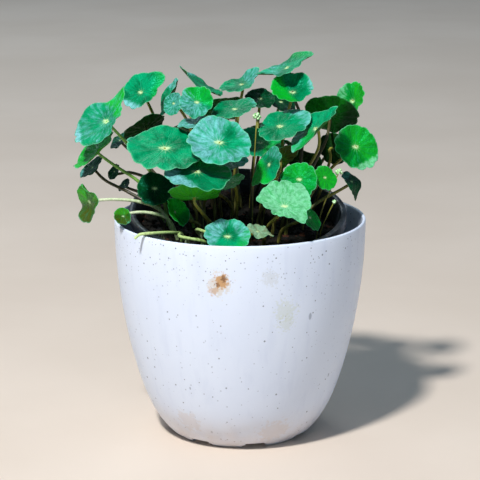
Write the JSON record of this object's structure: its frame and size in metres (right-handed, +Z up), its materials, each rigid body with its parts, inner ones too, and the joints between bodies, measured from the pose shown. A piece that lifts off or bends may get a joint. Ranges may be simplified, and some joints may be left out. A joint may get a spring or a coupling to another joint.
{
  "type": "potted plant",
  "caption": "Potted dollar pennywort: round crinkled leaves on thin stalks rise from soil in a black nursery pot that leans inside a white bellied outer pot.",
  "frame": {"origin": "middle of the whole plant's outline seen from above, on the ground plane", "axes": "+Z up; -Y towards the side that the picture is taken from, the way the nursery pot leans; +X to the picture's right"},
  "size_m": [0.1802, 0.1502, 0.2272],
  "materials": {
    "white_plastic": "satin",
    "black_plastic": "satin",
    "soil": "rough, crumbly",
    "leaf_green": "glossy leaf",
    "dry_leaf": "dry, matte",
    "runner_green": "satin"
  },
  "bodies": {
    "root": {"outer_pot": "white_plastic", "nursery_pot": "black_plastic", "soil": "soil", "leaf_01": "leaf_green", "leaf_02": "leaf_green", "leaf_03": "leaf_green", "leaf_04": "leaf_green", "leaf_05": "leaf_green", "leaf_06": "leaf_green", "leaf_07": "leaf_green", "leaf_08": "leaf_green", "leaf_09": "leaf_green", "leaf_10": "leaf_green", "leaf_11": "leaf_green", "leaf_12": "leaf_green", "leaf_13": "leaf_green", "leaf_14": "leaf_green", "leaf_15": "leaf_green", "leaf_16": "leaf_green", "leaf_17": "leaf_green", "leaf_18": "leaf_green", "leaf_19": "leaf_green", "leaf_20": "leaf_green", "leaf_21": "leaf_green", "leaf_22": "leaf_green", "leaf_23": "leaf_green", "leaf_24": "leaf_green", "leaf_25": "leaf_green", "leaf_26": "leaf_green", "leaf_27": "leaf_green", "leaf_28": "leaf_green", "leaf_29": "leaf_green", "leaf_30": "leaf_green", "leaf_31": "leaf_green", "leaf_32": "leaf_green", "leaf_33": "leaf_green", "leaf_34": "leaf_green", "leaf_35": "leaf_green", "leaf_36": "leaf_green", "leaf_37": "leaf_green", "leaf_38": "leaf_green", "leaf_39": "leaf_green", "leaf_40": "leaf_green", "leaf_41": "leaf_green", "leaf_42": "leaf_green", "leaf_43": "leaf_green", "leaf_44": "dry_leaf", "leaf_45": "leaf_green", "leaf_46": "leaf_green", "leaf_47": "leaf_green", "leaf_48": "leaf_green", "leaf_49": "leaf_green", "leaf_50": "leaf_green", "leaf_51": "leaf_green", "leaf_52": "leaf_green", "leaf_53": "leaf_green", "runner_1": "runner_green", "runner_2": "runner_green", "runner_3": "runner_green"}
  },
  "joints": []
}
